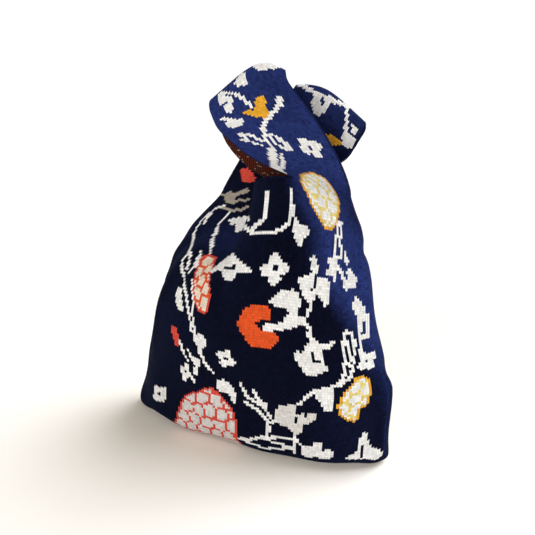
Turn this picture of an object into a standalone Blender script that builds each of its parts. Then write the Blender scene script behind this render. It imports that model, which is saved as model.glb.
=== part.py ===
"""Knitted tote bag: one hollow shell of double-knit fabric that stands on its own bottom seam.

Front and back panels are linked at the sides and along the bottom. Each panel carries two wide straps,
and a front strap meets its back strap at a crease, so that they make one handle loop on the right and one
on the left. The loops are crossed over the mouth, the right one in front, which closes the bag.

Metres, +Z up. The front faces -Y and the origin is in the middle of the bottom seam.
The outer face is one cage of rings and ribs. It is smoothed, and then given the fabric's thickness inwards.
"""

import math

import bmesh
import bpy
from mathutils import Vector

# Driving dimensions
BASE_WIDTH = 0.216  # between the two bottom corners
BASE_FRONT = 0.036  # how far the foot bows out in front of the bottom seam
BASE_BACK = 0.032  # and behind it
BELLY_FRONT = 0.046  # the filled body in front of the seam, where it is fullest
BELLY_BACK = 0.042
MOUTH_HEIGHT = 0.188  # from the floor to the foot of the handles
MOUTH_WIDTH = 0.104
MOUTH_SHIFT = 0.030  # the mouth sits to the right of the base's middle
HANDLE_RISE = 0.088  # from the mouth to the top of the taller loop
BAND_WIDTH = 0.060  # across one strap
FOLD = 0.0110  # thickness of a strap where it folds over at the crease
LOOP_GAP = 0.016  # between the front and the back strap of one loop
CROSSING_GAP = 0.012  # between the right loop and the left loop behind it
WALL = 0.0024  # thickness of the fabric

# Layers of the crossed straps, from the front to the back
RIGHT_FRONT = -0.031
RIGHT_BACK = RIGHT_FRONT + LOOP_GAP
LEFT_FRONT = RIGHT_BACK + CROSSING_GAP
LEFT_BACK = LEFT_FRONT + LOOP_GAP

# Cage, in faces before smoothing
BAND_FACES = 4
FRONT_NECK_FACES = 5
BACK_NECK_FACES = 5
ARMHOLE_FACES = 2
BODY_ROWS = 15
STRAP_ROWS = 6
HIDDEN_EDGE = 0.05  # share of the band by which a back strap's outer edge stays behind the front one's
CREASE_SWELL = 0.0015  # the smoothing takes this much off the top of a crease
SMOOTHING = 1
CURVE_STEPS = 60  # samples taken along each curve before it is cut into even lengths
HEIGHT_STEPS = 24
FOLDS_START = 0.66  # share of the height where the folds of the mouth begin
FOLD_HOLD = 1.7  # over 1, folds near the middle of the mouth run straight down and only the sides spread
FABRIC_COLOUR = (0.009, 0.014, 0.055, 1.0)


def smooth(t):
    t = min(max(t, 0.0), 1.0)
    return t * t * (3.0 - 2.0 * t)


def along(points, t):
    """The point at share t of a smooth curve through points, each at an even share."""
    count = len(points) - 1
    k = min(int(t * count), count - 1)
    f = t * count - k
    a, b = points[k], points[k + 1]
    before = points[k - 1] if k else a * 2.0 - b
    after = points[k + 2] if k + 2 <= count else b * 2.0 - a
    m0, m1 = (b - before) * 0.5, (after - a) * 0.5
    f2, f3 = f * f, f * f * f
    return a * (2 * f3 - 3 * f2 + 1) + m0 * (f3 - 2 * f2 + f) + b * (3 * f2 - 2 * f3) + m1 * (f3 - f2)


def resample(points, count):
    """count + 1 points at even lengths along the polyline through points."""
    lengths = [0.0]
    for a, b in zip(points, points[1:]):
        lengths.append(lengths[-1] + (b - a).length)
    out, k = [], 0
    for i in range(count + 1):
        want = lengths[-1] * i / count
        while k < len(points) - 2 and lengths[k + 1] < want:
            k += 1
        span = lengths[k + 1] - lengths[k]
        out.append(points[k].lerp(points[k + 1], (want - lengths[k]) / span if span else 0.0))
    return out


def neck(u, y, h):
    """A point above the mouth: u in half mouth widths, y in metres, h in handle rises."""
    return Vector((MOUTH_SHIFT + u * MOUTH_WIDTH / 2, y, MOUTH_HEIGHT + h * HANDLE_RISE))


def mouth_ring():
    """The foot of the handles, seen from above: left strap, neckline, right strap, armhole, and the same
    along the back. Each stretch lists its key points, and one that follows starts where the last ended."""
    back = LEFT_BACK + 0.002
    step = LEFT_FRONT - 0.003
    panel = RIGHT_FRONT - 0.005
    stretches = (
        # left front strap
        ([(-1.00, LEFT_FRONT, 0.00), (-0.66, LEFT_FRONT - 0.004, 0.02),
          (-0.20, step, -0.02)], BAND_FACES),
        # front neckline: a step forward, then the standing middle of the front panel
        ([(-0.20, step, -0.02), (-0.24, (step + panel) / 2, 0.08), (-0.22, panel + 0.002, 0.17),
          (0.05, panel - 0.001, 0.20), (0.28, panel - 0.001, 0.22), (0.48, panel + 0.002, 0.20)],
         FRONT_NECK_FACES),
        # right front strap
        ([(0.48, panel + 0.002, 0.20), (0.78, panel + 0.010, 0.14), (0.98, -0.010, 0.02)], BAND_FACES),
        # right armhole
        ([(0.98, -0.010, 0.02), (0.96, -0.002, -0.03), (0.85, 0.006, 0.00)], ARMHOLE_FACES),
        # right back strap
        ([(0.85, 0.006, 0.00), (0.66, 0.011, 0.01), (0.46, 0.012, 0.01)], BAND_FACES),
        # back neckline
        ([(0.46, 0.012, 0.01), (0.10, back - 0.003, -0.05), (-0.25, back, 0.00)], BACK_NECK_FACES),
        # left back strap
        ([(-0.25, back, 0.00), (-0.60, back, 0.01), (-0.93, back - 0.002, 0.00)], BAND_FACES),
        # left armhole
        ([(-0.93, back - 0.002, 0.00), (-1.05, 0.006, -0.04), (-1.00, LEFT_FRONT, 0.00)],
         ARMHOLE_FACES),
    )
    ring = []
    for keys, faces in stretches:
        curve = [neck(*key) for key in keys]
        fine = [along(curve, i / CURVE_STEPS) for i in range(CURVE_STEPS + 1)]
        ring += resample(fine, faces)[:-1]
    return ring


def section_point(share, left, right, front, back, sharpness):
    """A point on a flattened round section: share 0 on the left seam, 0.5 on the right one, front first."""
    angle = math.pi + 2.0 * math.pi * share
    c, s = math.cos(angle), math.sin(angle)
    power = 2.0 / sharpness
    x = math.copysign(abs(c) ** power, c)
    y = math.copysign(abs(s) ** power, s)
    middle, half = (left + right) / 2, (right - left) / 2
    return middle + half * x, y * (back if y > 0 else front)


def body_section(f, ring_box):
    """Left and right ends, front and back depth and squareness of the section at share f of the height.
    ring_box holds the same four sizes of the mouth ring, where the profiles end."""
    half = BASE_WIDTH / 2
    ring_left, ring_right, ring_front, ring_back = ring_box
    widths = [
        (-1.02 * half, 1.07 * half, 2.1),
        (-0.95 * half, 1.055 * half, 2.3),
        (-0.84 * half, 1.05 * half, 2.4),
        (-0.77 * half, 0.94 * half, 2.5),
        (-0.67 * half, 0.90 * half, 2.5),
        (-0.54 * half, 0.86 * half, 2.4),
        (ring_left, ring_right, 2.2),
    ]
    depths = [
        (BASE_FRONT, BASE_BACK),
        (0.5 * (BASE_FRONT + BELLY_FRONT), 0.5 * (BASE_BACK + BELLY_BACK)),
        (BELLY_FRONT, BELLY_BACK),
        (BELLY_FRONT, BELLY_BACK),
        (0.96 * BELLY_FRONT, 0.94 * BELLY_BACK),
        (0.5 * (0.92 * BELLY_FRONT + ring_front), 0.4 * BELLY_BACK + 0.5 * ring_back),
        (ring_front, ring_back),
    ]
    left, right, square = along([Vector(row) for row in widths], f)
    front, back = along([Vector(row) for row in depths], f)
    return left, right, front, back, square


def even_section(share, ends):
    """section_point at even lengths along the front half and along the back half."""
    half, f = (0, share * 2) if share <= 0.5 else (1, share * 2 - 1)
    steps = CURVE_STEPS
    points = [Vector(section_point((half + i / steps) / 2, *ends)) for i in range(steps + 1)]
    lengths = [0.0]
    for a, b in zip(points, points[1:]):
        lengths.append(lengths[-1] + (b - a).length)
    want, k = f * lengths[-1], 0
    while k < steps - 1 and lengths[k + 1] < want:
        k += 1
    return points[k].lerp(points[k + 1], (want - lengths[k]) / (lengths[k + 1] - lengths[k]))


def body_column(share, top, ring_box):
    """The column of the body at a share round it, from the bottom seam over the foot up to the mouth.
    Low down it follows the round sections, and towards the mouth it takes on the folded ring's form."""
    foot = even_section(share, body_section(0.0, ring_box))
    curve = [Vector((foot.x, 0.0, 0.0)), Vector((foot.x, foot.y, 0.0))]
    ring_left, ring_right, ring_front, ring_back = ring_box
    half_mouth = ring_right - MOUTH_SHIFT if top.x > MOUTH_SHIFT else MOUTH_SHIFT - ring_left
    aside = (top.x - MOUTH_SHIFT) / half_mouth
    deep = top.y / (ring_back if top.y > 0 else ring_front)
    for i in range(1, HEIGHT_STEPS + 1):
        f = i / HEIGHT_STEPS
        ends = body_section(f, ring_box)
        left, right, front, back, _ = ends
        round_point = even_section(share, ends)
        spread = right - ring_right if aside > 0 else left - ring_left
        ring_point = Vector((top.x + spread * abs(aside) ** FOLD_HOLD, deep * (back if deep > 0 else front)))
        at = round_point.lerp(ring_point, smooth((f - FOLDS_START) / (1.0 - FOLDS_START)))
        curve.append(Vector((at.x, at.y, top.z * f)))
    return resample(curve, BODY_ROWS)


def strap_ribs(keys):
    """Inner and outer ends of each rib, sampled from the key ribs of one strap, root to crease."""
    inner = [neck(u, y, h) for u, y, h, _, _, _ in keys]
    outer = []
    for start, (_, _, _, share, tilt, swing) in zip(inner, keys):
        reach = BAND_WIDTH * share
        a = math.radians(tilt)
        outer.append(start + Vector((reach * math.cos(a), swing, reach * math.sin(a))))
    return inner, outer


def build_cage():
    """The open surface: rings of the body and the ribs of the four straps, as one mesh."""
    ring = mouth_ring()
    count = len(ring)
    across = [point.x for point in ring]
    through = [point.y for point in ring]
    ring_box = (min(across), max(across), -min(through), max(through))
    left_seam = count - ARMHOLE_FACES / 2
    bm = bmesh.new()
    columns = [body_column((j - left_seam) % count / count, top, ring_box) for j, top in enumerate(ring)]

    rows = [[bm.verts.new(columns[j][k]) for j in range(count)] for k in range(1, BODY_ROWS + 1)]
    # bottom seam: a column of the front panel shares its vertex with the one behind it
    seam = [None] * count
    for j in range(count):
        twin = int((2 * left_seam - j) % count)
        if seam[twin] is None:
            x = (columns[j][0].x + columns[twin][0].x) / 2
            seam[j] = bm.verts.new((x, 0.0, 0.0))
        else:
            seam[j] = seam[twin]
    rows.insert(0, seam)
    for low, high in zip(rows, rows[1:]):
        for j in range(count):
            n = (j + 1) % count
            quad = [low[j], low[n], high[n], high[j]]
            if len(set(quad)) == 4:
                bm.faces.new(quad)
    top = rows[-1]

    def loop(front_ids, back_ids, front_keys, back_keys, crease, arch):
        """One handle loop. The ids run from the inner edge to the outer edge of the ring's straps."""
        corner, depth, rise, share, tilt, swing = crease
        halves = []
        for keys, ids, side in ((front_keys, front_ids, -1), (back_keys, back_ids, 1)):
            root = [top[i].co.copy() for i in ids]
            reach = share if side < 0 else share - HIDDEN_EDGE
            below = (corner, depth + side * FOLD / 2, rise - FOLD / HANDLE_RISE / 2, reach, tilt, swing)
            inner, outer = strap_ribs(keys + [below])
            inner.insert(0, root[0])
            outer.insert(0, root[-1])
            steps = CURVE_STEPS
            middles = [(along(inner, i / steps) + along(outer, i / steps)) / 2 for i in range(steps + 1)]
            half = []
            for r, middle in enumerate(resample(middles, STRAP_ROWS)):
                if r == 0:
                    continue
                t = min(range(steps + 1), key=lambda i: (middles[i] - middle).length) / steps
                a, b = along(inner, t), along(outer, t)
                rib = [a.lerp(b, c / BAND_FACES) for c in range(BAND_FACES + 1)]
                bend = smooth(1.0 - t * 2.5)
                for c in range(BAND_FACES + 1):
                    flat = root[0].lerp(root[-1], c / BAND_FACES)
                    rib[c] += (root[c] - flat) * bend
                    rib[c].z += arch[c] * smooth(t * 1.6 - 0.6)
                half.append(rib)
            halves.append(half)
        inner, outer = strap_ribs([crease])
        fold = [inner[0].lerp(outer[0], c / BAND_FACES) + Vector((0.0, 0.0, arch[c] + CREASE_SWELL))
                for c in range(BAND_FACES + 1)]
        front, back = halves
        chain = [[top[i] for i in front_ids]]
        chain += [[bm.verts.new(p) for p in rib] for rib in front + [fold] + back[::-1]]
        chain.append([top[i] for i in back_ids])
        for low, high in zip(chain, chain[1:]):
            for c in range(BAND_FACES):
                yield [low[c], low[c + 1], high[c + 1], high[c]]

    b, f, a, n = BAND_FACES, FRONT_NECK_FACES, ARMHOLE_FACES, BACK_NECK_FACES
    left_front = list(range(0, b + 1))
    right_front = list(range(b + f, b + f + b + 1))
    right_back_start = b + f + b + a
    right_back = list(range(right_back_start, right_back_start + b + 1))
    left_back_start = right_back_start + b + n
    left_back = list(range(left_back_start, left_back_start + b + 1))

    right_crease = (-0.86, (RIGHT_FRONT + RIGHT_BACK) / 2 - 0.002, 0.76, 0.94, 15.0, 0.0)
    right_front_keys = [
        (0.05, RIGHT_FRONT - 0.007, 0.29, 0.80, -4.0, 0.011),
        (-0.38, RIGHT_FRONT - 0.005, 0.415, 1.0, 5.0, 0.006),
        (-0.64, RIGHT_FRONT - 0.002, 0.57, 1.0, 9.0, 0.002),
    ]
    right_back_keys = [
        (0.02, RIGHT_BACK + 0.002, 0.12, 0.70, 8.0, 0.000),
        (-0.47, RIGHT_BACK + 0.001, 0.25, 0.97, 11.0, -0.004),
        (-0.73, RIGHT_BACK, 0.49, 0.93, 11.0, -0.004),
    ]
    left_crease = (1.01, (LEFT_FRONT + LEFT_BACK) / 2, 0.60, 0.90, 154.0, 0.0)
    left_front_keys = [
        (0.35, LEFT_FRONT + 0.003, 0.12, 0.92, 166.0, -0.004),
        (0.62, LEFT_FRONT + 0.003, 0.27, 0.95, 160.0, -0.003),
        (0.84, LEFT_FRONT + 0.002, 0.43, 0.92, 155.0, -0.001),
    ]
    left_back_keys = [
        (0.16, LEFT_BACK, 0.10, 0.92, 166.0, 0.000),
        (0.50, LEFT_BACK, 0.25, 0.95, 160.0, 0.000),
        (0.78, LEFT_BACK - 0.001, 0.43, 0.92, 155.0, 0.0),
    ]
    faces = list(loop(right_front, right_back[::-1], right_front_keys, right_back_keys, right_crease,
                      (0.0, 0.006, 0.012, 0.013, 0.003)))
    # the left loop's inner edge is the strap's right one
    faces += [quad[::-1] for quad in
              loop(left_front[::-1], left_back, left_front_keys, left_back_keys, left_crease,
                   (0.0, 0.004, 0.008, 0.006, 0.000))]
    for quad in faces:
        bm.faces.new(quad)
    bmesh.ops.recalc_face_normals(bm, faces=bm.faces)
    mesh = bpy.data.meshes.new("bag_body")
    bm.to_mesh(mesh)
    bm.free()
    return mesh


def fabric_material():
    material = bpy.data.materials.new("navy_knit")
    material.use_nodes = True
    shader = material.node_tree.nodes["Principled BSDF"]
    shader.inputs["Base Color"].default_value = FABRIC_COLOUR
    shader.inputs["Roughness"].default_value = 0.9
    shader.inputs["Metallic"].default_value = 0.0
    return material


def main():
    for thing in list(bpy.data.objects):
        bpy.data.objects.remove(thing)
    collection = bpy.data.collections.new("knitted_tote_bag")
    bpy.context.scene.collection.children.link(collection)

    bag = bpy.data.objects.new("bag_body", build_cage())
    collection.objects.link(bag)
    bag.data.materials.append(fabric_material())
    soften = bag.modifiers.new("soft form", "SUBSURF")
    soften.levels = soften.render_levels = SMOOTHING
    cloth = bag.modifiers.new("fabric", "SOLIDIFY")
    cloth.thickness = WALL
    cloth.offset = -1.0
    cloth.use_even_offset = True
    bag.data.shade_smooth()


main()
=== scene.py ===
import math

import bpy
import numpy as np
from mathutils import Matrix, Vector


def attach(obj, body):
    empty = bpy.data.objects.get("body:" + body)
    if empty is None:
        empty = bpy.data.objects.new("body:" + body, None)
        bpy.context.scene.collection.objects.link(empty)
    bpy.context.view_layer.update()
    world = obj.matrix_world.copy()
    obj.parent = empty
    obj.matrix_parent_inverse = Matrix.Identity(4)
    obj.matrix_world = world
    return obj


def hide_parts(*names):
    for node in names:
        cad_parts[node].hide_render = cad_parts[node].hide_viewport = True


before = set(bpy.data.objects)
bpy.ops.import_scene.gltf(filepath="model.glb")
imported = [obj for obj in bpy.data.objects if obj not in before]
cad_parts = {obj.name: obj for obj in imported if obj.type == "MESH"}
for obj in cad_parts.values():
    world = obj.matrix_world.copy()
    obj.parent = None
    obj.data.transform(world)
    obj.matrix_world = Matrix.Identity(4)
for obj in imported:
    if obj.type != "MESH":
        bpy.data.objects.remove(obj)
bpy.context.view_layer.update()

# camera
IMAGE_SIZE = 535.0  # the photo's width and height in pixels
FOCAL_PX = 600.0
SENSOR = 36.0
AZIMUTH = math.radians(26.0)
ELEVATION = math.radians(16.0)
DISTANCE = 0.422
TARGET = Vector((0.023, -0.017, 0.14))
NEAREST, FARTHEST = 0.01, 50.0


def aimed(name, data, stands, away):
    """Links a camera or lamp that stands somewhere and looks against the direction away."""
    thing = bpy.data.objects.new(name, data)
    thing.location = stands
    thing.rotation_euler = (-away).to_track_quat("-Z", "Y").to_euler()
    bpy.context.scene.collection.objects.link(thing)
    return thing


def make_camera():
    data = bpy.data.cameras.new("camera")
    data.lens = FOCAL_PX / IMAGE_SIZE * SENSOR
    data.sensor_width = SENSOR
    data.clip_start, data.clip_end = NEAREST, FARTHEST
    flat = math.cos(ELEVATION)
    away = Vector((flat * math.sin(AZIMUTH), -flat * math.cos(AZIMUTH), math.sin(ELEVATION)))
    bpy.context.scene.camera = aimed("camera", data, TARGET + away * DISTANCE, away)


# the form, as in the part
BASE_WIDTH = 0.216
BASE_FRONT = 0.036
BASE_BACK = 0.032
BELLY_FRONT = 0.046
BELLY_BACK = 0.042
MOUTH_HEIGHT = 0.188
MOUTH_WIDTH = 0.104
MOUTH_SHIFT = 0.03
HANDLE_RISE = 0.088
BAND_WIDTH = 0.06
FOLD = 0.011
LOOP_GAP = 0.016
CROSSING_GAP = 0.012
WALL = 0.0024
RIGHT_FRONT = -0.031
RIGHT_BACK = RIGHT_FRONT + LOOP_GAP
LEFT_FRONT = RIGHT_BACK + CROSSING_GAP
LEFT_BACK = LEFT_FRONT + LOOP_GAP
BAND_FACES = 4
FRONT_NECK_FACES = 5
BACK_NECK_FACES = 5
ARMHOLE_FACES = 2
BODY_ROWS = 15
STRAP_ROWS = 6
HIDDEN_EDGE = 0.05
CREASE_SWELL = 0.0015
CURVE_STEPS = 60
HEIGHT_STEPS = 24
FOLDS_START = 0.66
FOLD_HOLD = 1.7
RING = 2 * (2 * BAND_FACES + ARMHOLE_FACES) + FRONT_NECK_FACES + BACK_NECK_FACES
LEFT_SEAM = RING - ARMHOLE_FACES // 2

# stitches
SMOOTHING = 3
FINE = 2 ** SMOOTHING  # stitches along each side of a cage face
ROWS = BODY_ROWS * FINE  # courses of the body
COLS = RING * FINE  # wales right round
BAND = BAND_FACES * FINE  # wales across a strap
HALF_LOOP = (STRAP_ROWS + 1) * FINE  # courses from a strap's foot to its crease
PANEL = COLS // 2  # wales of the front panel, and of the back one
PANEL_ROWS = ROWS + HALF_LOOP
SEAM_SHIFT = COLS - LEFT_SEAM * FINE  # wales from the left seam to the ring's first column

# sheets of the cage, each with columns of its own in the map that says where a corner belongs
BODY, RIGHT_LOOP, LEFT_LOOP = range(3)
LOOPS = (RIGHT_LOOP, LEFT_LOOP)
SHEET_COLUMNS = 64
SHEETS = {BODY: (ROWS, COLS), **dict.fromkeys(LOOPS, (2 * HALF_LOOP, BAND))}


def smooth(t):
    t = np.clip(t, 0.0, 1.0)
    return t * t * (3.0 - 2.0 * t)


def along(points, t):
    count = len(points) - 1
    k = min(int(t * count), count - 1)
    f = t * count - k
    a, b = points[k], points[k + 1]
    before = points[k - 1] if k else a * 2.0 - b
    after = points[k + 2] if k + 2 <= count else b * 2.0 - a
    m0, m1 = (b - before) * 0.5, (after - a) * 0.5
    f2, f3 = f * f, f * f * f
    return a * (2 * f3 - 3 * f2 + 1) + m0 * (f3 - 2 * f2 + f) + b * (3 * f2 - 2 * f3) + m1 * (f3 - f2)


def running_lengths(points):
    lengths = [0.0]
    for a, b in zip(points, points[1:]):
        lengths.append(lengths[-1] + (b - a).length)
    return lengths


def point_at(points, lengths, want):
    k = 0
    while k < len(points) - 2 and lengths[k + 1] < want:
        k += 1
    span = lengths[k + 1] - lengths[k]
    return points[k].lerp(points[k + 1], (want - lengths[k]) / span if span else 0.0)


def resample(points, count):
    lengths = running_lengths(points)
    return [point_at(points, lengths, lengths[-1] * i / count) for i in range(count + 1)]


def neck(u, y, h):
    return Vector((MOUTH_SHIFT + u * MOUTH_WIDTH / 2, y, MOUTH_HEIGHT + h * HANDLE_RISE))


def mouth_ring():
    back = LEFT_BACK + 0.002
    step = LEFT_FRONT - 0.003
    panel = RIGHT_FRONT - 0.005
    corner = (-1, LEFT_FRONT, 0)
    stretches = (
        ([(-0.66, LEFT_FRONT - 0.004, 0.02), (-0.2, step, -0.02)], BAND_FACES),
        ([(-0.24, (step + panel) / 2, 0.08), (-0.22, panel + 0.002, 0.17), (0.05, panel - 0.001, 0.2),
          (0.28, panel - 0.001, 0.22), (0.48, panel + 0.002, 0.2)], FRONT_NECK_FACES),
        ([(0.78, panel + 0.01, 0.14), (0.98, -0.01, 0.02)], BAND_FACES),
        ([(0.96, -0.002, -0.03), (0.85, 0.006, 0)], ARMHOLE_FACES),
        ([(0.66, 0.011, 0.01), (0.46, 0.012, 0.01)], BAND_FACES),
        ([(0.1, back - 0.003, -0.05), (-0.25, back, 0)], BACK_NECK_FACES),
        ([(-0.6, back, 0.01), (-0.93, back - 0.002, 0)], BAND_FACES),
        ([(-1.05, 0.006, -0.04), corner], ARMHOLE_FACES),
    )
    ring, curve = [], [neck(*corner)]
    for keys, faces in stretches:
        curve = [curve[-1]] + [neck(*key) for key in keys]
        ring += resample([along(curve, i / CURVE_STEPS) for i in range(CURVE_STEPS + 1)], faces)[:-1]
    return ring


def section_point(share, left, right, front, back, sharpness):
    angle = math.pi + 2.0 * math.pi * share
    power = 2.0 / sharpness
    x, y = (math.copysign(abs(v) ** power, v) for v in (math.cos(angle), math.sin(angle)))
    middle, half = (left + right) / 2, (right - left) / 2
    return middle + half * x, y * (back if y > 0 else front)


# The body's left and right ends as shares of half the base, and how square it is, up to the mouth
BODY_WIDTHS = ((-1.02, 1.07, 2.1), (-0.95, 1.055, 2.3), (-0.84, 1.05, 2.4),
               (-0.77, 0.94, 2.5), (-0.67, 0.9, 2.5), (-0.54, 0.86, 2.4))


def body_section(f, ring_box):
    half = BASE_WIDTH / 2
    ring_left, ring_right, ring_front, ring_back = ring_box
    widths = [(left * half, right * half, square) for left, right, square in BODY_WIDTHS]
    widths.append((ring_left, ring_right, 2.2))
    depths = [
        (BASE_FRONT, BASE_BACK),
        (0.5 * (BASE_FRONT + BELLY_FRONT), 0.5 * (BASE_BACK + BELLY_BACK)),
        (BELLY_FRONT, BELLY_BACK),
        (BELLY_FRONT, BELLY_BACK),
        (0.96 * BELLY_FRONT, 0.94 * BELLY_BACK),
        (0.5 * (0.92 * BELLY_FRONT + ring_front), 0.4 * BELLY_BACK + 0.5 * ring_back),
        (ring_front, ring_back),
    ]
    left, right, square = along([Vector(row) for row in widths], f)
    front, back = along([Vector(row) for row in depths], f)
    return left, right, front, back, square


def even_section(share, ends):
    half, f = (0, share * 2) if share <= 0.5 else (1, share * 2 - 1)
    steps = CURVE_STEPS
    points = [Vector(section_point((half + i / steps) / 2, *ends)) for i in range(steps + 1)]
    lengths = running_lengths(points)
    return point_at(points, lengths, f * lengths[-1])


def body_column(share, top, ring_box):
    foot = even_section(share, body_section(0.0, ring_box))
    curve = [Vector((foot.x, 0.0, 0.0)), Vector((foot.x, foot.y, 0.0))]
    ring_left, ring_right, ring_front, ring_back = ring_box
    half_mouth = ring_right - MOUTH_SHIFT if top.x > MOUTH_SHIFT else MOUTH_SHIFT - ring_left
    aside = (top.x - MOUTH_SHIFT) / half_mouth
    deep = top.y / (ring_back if top.y > 0 else ring_front)
    for i in range(1, HEIGHT_STEPS + 1):
        f = i / HEIGHT_STEPS
        ends = body_section(f, ring_box)
        left, right, front, back, _ = ends
        round_point = even_section(share, ends)
        spread = right - ring_right if aside > 0 else left - ring_left
        wide = top.x + spread * abs(aside) ** FOLD_HOLD
        ring_point = Vector((wide, deep * (back if deep > 0 else front)))
        at = round_point.lerp(ring_point, smooth((f - FOLDS_START) / (1.0 - FOLDS_START)))
        curve.append(Vector((at.x, at.y, top.z * f)))
    return resample(curve, BODY_ROWS)


def strap_ribs(keys):
    inner = [neck(u, y, h) for u, y, h, _, _, _ in keys]
    outer = []
    for start, (_, _, _, share, tilt, swing) in zip(inner, keys):
        reach = BAND_WIDTH * share
        a = math.radians(tilt)
        outer.append(start + Vector((reach * math.cos(a), swing, reach * math.sin(a))))
    return inner, outer


LOOP_KEYS = {
    RIGHT_LOOP: dict(
        crease=(-0.86, (RIGHT_FRONT + RIGHT_BACK) / 2 - 0.002, 0.76, 0.94, 15, 0),
        arch=(0, 0.006, 0.012, 0.013, 0.003),
        front=[(0.05, RIGHT_FRONT - 0.007, 0.29, 0.8, -4, 0.011),
               (-0.38, RIGHT_FRONT - 0.005, 0.415, 1, 5, 0.006),
               (-0.64, RIGHT_FRONT - 0.002, 0.57, 1, 9, 0.002)],
        back=[(0.02, RIGHT_BACK + 0.002, 0.12, 0.7, 8, 0),
              (-0.47, RIGHT_BACK + 0.001, 0.25, 0.97, 11, -0.004),
              (-0.73, RIGHT_BACK, 0.49, 0.93, 11, -0.004)]),
    LEFT_LOOP: dict(
        crease=(1.01, (LEFT_FRONT + LEFT_BACK) / 2, 0.6, 0.9, 154, 0),
        arch=(0, 0.004, 0.008, 0.006, 0),
        front=[(0.35, LEFT_FRONT + 0.003, 0.12, 0.92, 166, -0.004),
               (0.62, LEFT_FRONT + 0.003, 0.27, 0.95, 160, -0.003),
               (0.84, LEFT_FRONT + 0.002, 0.43, 0.92, 155, -0.001)],
        back=[(0.16, LEFT_BACK, 0.1, 0.92, 166, 0),
              (0.5, LEFT_BACK, 0.25, 0.95, 160, 0),
              (0.78, LEFT_BACK - 0.001, 0.43, 0.92, 155, 0)]),
}
# Column of the ring at each strap's inner edge, in cage faces, and the way to its outer edge,
# at the strap's front and at its back
RIGHT_STRAP_ENDS = 3 * BAND_FACES + FRONT_NECK_FACES + ARMHOLE_FACES
EDGE_COLUMNS = {
    RIGHT_LOOP: ((BAND_FACES + FRONT_NECK_FACES, 1), (RIGHT_STRAP_ENDS, -1)),
    LEFT_LOOP: ((BAND_FACES, -1), (RIGHT_STRAP_ENDS + BACK_NECK_FACES, 1)),
}


def loop_rows(which, top):
    """All ribs of one loop, from its front root to its back root, as points."""
    spec = LOOP_KEYS[which]
    corner, depth, rise, share, tilt, swing = spec["crease"]
    arch = spec["arch"]
    halves = []
    for keys, (start, way), side in ((spec["front"], EDGE_COLUMNS[which][0], -1),
                                     (spec["back"], EDGE_COLUMNS[which][1], 1)):
        root = [top[start + way * c] for c in range(BAND_FACES + 1)]
        reach = share if side < 0 else share - HIDDEN_EDGE
        below = (corner, depth + side * FOLD / 2, rise - FOLD / HANDLE_RISE / 2, reach, tilt, swing)
        inner, outer = strap_ribs(keys + [below])
        inner.insert(0, root[0])
        outer.insert(0, root[-1])
        steps = CURVE_STEPS
        middles = [(along(inner, i / steps) + along(outer, i / steps)) / 2 for i in range(steps + 1)]
        half = [root]
        for middle in resample(middles, STRAP_ROWS)[1:]:
            t = min(range(steps + 1), key=lambda i: (middles[i] - middle).length) / steps
            a, b = along(inner, t), along(outer, t)
            rib = [a.lerp(b, c / BAND_FACES) for c in range(BAND_FACES + 1)]
            bend = smooth(1.0 - t * 2.5)
            for c in range(BAND_FACES + 1):
                flat = root[0].lerp(root[-1], c / BAND_FACES)
                rib[c] = rib[c] + (root[c] - flat) * bend
                rib[c].z += arch[c] * smooth(t * 1.6 - 0.6)
            half.append(rib)
        halves.append(half)
    inner, outer = strap_ribs([spec["crease"]])
    fold = [inner[0].lerp(outer[0], c / BAND_FACES) + Vector((0, 0, arch[c] + CREASE_SWELL))
            for c in range(BAND_FACES + 1)]
    front, back = halves
    return front + [fold] + back[::-1]


def cage_mesh():
    """The part's cage. Each face's corners carry the sheet, column and row they stand for."""
    ring = mouth_ring()
    across = [point.x for point in ring]
    through = [point.y for point in ring]
    ring_box = (min(across), max(across), -min(through), max(through))
    columns = [body_column((j - LEFT_SEAM) % RING / RING, top, ring_box) for j, top in enumerate(ring)]
    points, faces, labels = [], [], []

    def add(point):
        points.append(tuple(point))
        return len(points) - 1

    def add_face(which, low, high, left, right, column, row, flipped=False):
        face = (low[left], low[right], high[right], high[left])
        label = [(which * SHEET_COLUMNS + c, r)
                 for c, r in ((column, row), (column + 1, row), (column + 1, row + 1), (column, row + 1))]
        faces.append(face[::-1] if flipped else face)
        labels.extend(label[::-1] if flipped else label)

    seam = [None] * RING
    for j in range(RING):
        twin = (2 * LEFT_SEAM - j) % RING
        if seam[twin] is None:
            seam[j] = add(((columns[j][0].x + columns[twin][0].x) / 2, 0.0, 0.0))
        else:
            seam[j] = seam[twin]
    rows = [seam] + [[add(columns[j][k]) for j in range(RING)] for k in range(1, BODY_ROWS + 1)]
    for k in range(BODY_ROWS):
        for j in range(RING):
            add_face(BODY, rows[k], rows[k + 1], j, (j + 1) % RING, j, k)
    top_points = [column[-1] for column in columns]
    for which in LOOPS:
        ends = [[rows[-1][start + way * c] for c in range(BAND_FACES + 1)]
                for start, way in EDGE_COLUMNS[which]]
        ribs = [[add(point) for point in rib] for rib in loop_rows(which, top_points)[1:-1]]
        chain = [ends[0]] + ribs + [ends[1]]
        for k in range(len(chain) - 1):
            for c in range(BAND_FACES):
                add_face(which, chain[k], chain[k + 1], c, c + 1, c, k, which == LEFT_LOOP)
    mesh = bpy.data.meshes.new("cage")
    mesh.from_pydata(points, [], faces)
    where = mesh.uv_layers.new(name="where")
    where.data.foreach_set("uv", np.array(labels, dtype=np.float32).ravel())
    mesh.update()
    return mesh


def read(items, name, width, kind=np.float32):
    values = np.empty(len(items) * width, dtype=kind)
    items.foreach_get(name, values)
    return values.reshape(-1, width)


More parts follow.
